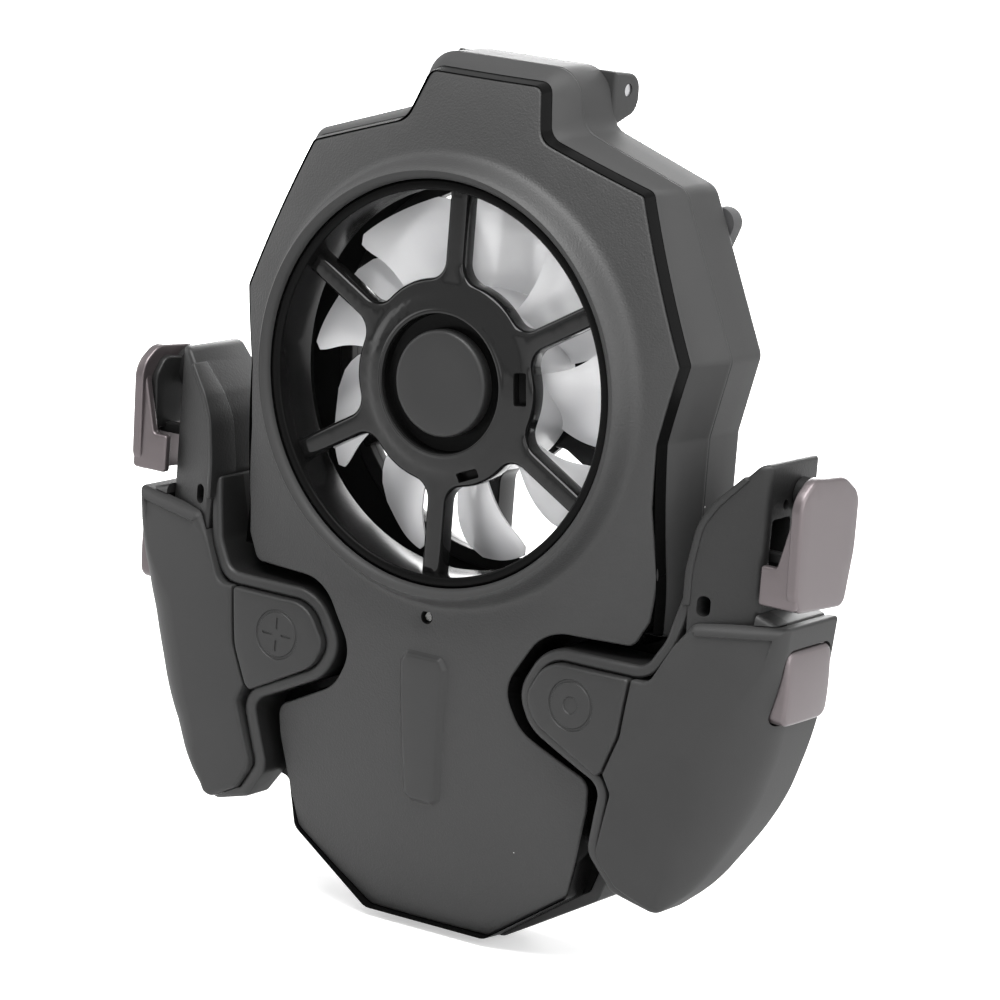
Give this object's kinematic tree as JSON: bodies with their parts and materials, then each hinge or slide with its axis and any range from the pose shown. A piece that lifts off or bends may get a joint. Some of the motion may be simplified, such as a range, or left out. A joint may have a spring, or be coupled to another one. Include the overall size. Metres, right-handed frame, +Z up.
{
  "type": "phone cooling fan grip",
  "caption": "Handheld phone grip with a round cooling fan, a fold-out top hook and pull-out side wings that carry triggers and keys.",
  "frame": {"origin": "on the fan's axis, in the plane where the grip pads meet the phone", "axes": "+X to the right seen from the fan side, +Y along the fan's axis towards the phone, +Z up towards the top hook"},
  "size_m": [0.1034, 0.0244, 0.1141],
  "materials": {
    "body_plastic": "dark grey, lightly grained",
    "gloss_black": "polished black",
    "matte_black": "smooth satin black",
    "cap_plastic": "fine matte",
    "blade_plastic": "frosted translucent",
    "trigger_metal": "warm grey satin lacquer",
    "key_metal": "warm grey brown satin lacquer",
    "steel": "ground",
    "brass": "turned",
    "copper_winding": "enamelled wire",
    "magnet": "bonded magnet",
    "rubber": "soft matte",
    "board": "solder mask",
    "battery_foil": "pouch foil",
    "clear_plastic": "clear"
  },
  "bodies": {
    "body": {"front_cover": "body_plastic", "rear_cover": "body_plastic", "fan_grille": "gloss_black", "hub_cap": "cap_plastic", "rear_guard": "matte_black", "motor_stator": "copper_winding", "bearing_sleeve": "brass", "motor_board": "board", "battery": "battery_foil", "main_board": "board", "light_pipe": "clear_plastic", "port_board": "board", "charge_socket": "steel", "cover_screws": "steel", "grip_pads": "rubber", "rod_bushes": "brass", "rod_springs": "steel", "hook_pin": "steel"},
    "rotor": {"impeller": "blade_plastic", "magnet_ring": "magnet", "motor_shaft": "steel"},
    "hook": {"top_hook": "matte_black", "hook_pad": "rubber"},
    "button": {"power_button": "matte_black"},
    "wing_right": {"wing_base_right": "body_plastic", "wing_cover_right": "body_plastic", "trigger_bracket_right": "matte_black", "guide_rods_right": "steel", "wing_board_right": "board", "key_switches_right": "matte_black", "trigger_pin_right": "steel", "wing_screws_right": "steel"},
    "trigger_body_right": {"trigger_right": "trigger_metal"},
    "side_key_body_right": {"side_key_right": "key_metal"},
    "back_key_body_right": {"back_key_right": "body_plastic"},
    "wing_left": {"wing_base_left": "body_plastic", "wing_cover_left": "body_plastic", "trigger_bracket_left": "matte_black", "guide_rods_left": "steel", "wing_board_left": "board", "key_switches_left": "matte_black", "trigger_pin_left": "steel", "wing_screws_left": "steel"},
    "trigger_body_left": {"trigger_left": "trigger_metal"},
    "side_key_body_left": {"side_key_left": "key_metal"},
    "back_key_body_left": {"back_key_left": "body_plastic"}
  },
  "joints": [
    {"name": "fan_spin", "type": "hinge", "parent": "body", "child": "rotor", "pos_m": [0, -0.0115, 0], "axis": [0, 1, 0], "continuous": true},
    {"name": "hook_fold", "type": "hinge", "parent": "body", "child": "hook", "pos_m": [0, -0.0004, 0.0378], "axis": [1, 0, 0], "range_deg": [0, 95]},
    {"name": "power_press", "type": "slide", "parent": "body", "child": "button", "axis": [0, 0, 1], "range_m": [0, 0.0006], "stiffness_N_per_m": 300},
    {"name": "wing_pull_right", "type": "slide", "parent": "body", "child": "wing_right", "axis": [1, 0, 0], "range_m": [0, 0.014], "stiffness_N_per_m": 40, "deforming": ["rod_springs"]},
    {"name": "trigger_pull_right", "type": "hinge", "parent": "wing_right", "child": "trigger_body_right", "pos_m": [0.048, -0.0062, -0.0076], "axis": [1, 0, 0], "range_deg": [0, 10], "stiffness_Nm_per_rad": 0.05},
    {"name": "side_key_press_right", "type": "slide", "parent": "wing_right", "child": "side_key_body_right", "axis": [-1, 0, 0], "range_m": [0, 0.0012], "stiffness_N_per_m": 300},
    {"name": "back_key_press_right", "type": "slide", "parent": "wing_right", "child": "back_key_body_right", "axis": [0, 1, 0], "range_m": [0, 0.0008], "stiffness_N_per_m": 300},
    {"name": "wing_pull_left", "type": "slide", "parent": "body", "child": "wing_left", "axis": [-1, 0, 0], "range_m": [0, 0.014], "stiffness_N_per_m": 40, "deforming": ["rod_springs"]},
    {"name": "trigger_pull_left", "type": "hinge", "parent": "wing_left", "child": "trigger_body_left", "pos_m": [-0.048, -0.0062, -0.0076], "axis": [1, 0, 0], "range_deg": [0, 10], "stiffness_Nm_per_rad": 0.05},
    {"name": "side_key_press_left", "type": "slide", "parent": "wing_left", "child": "side_key_body_left", "axis": [1, 0, 0], "range_m": [0, 0.0012], "stiffness_N_per_m": 300},
    {"name": "back_key_press_left", "type": "slide", "parent": "wing_left", "child": "back_key_body_left", "axis": [0, 1, 0], "range_m": [0, 0.0008], "stiffness_N_per_m": 300}
  ]
}
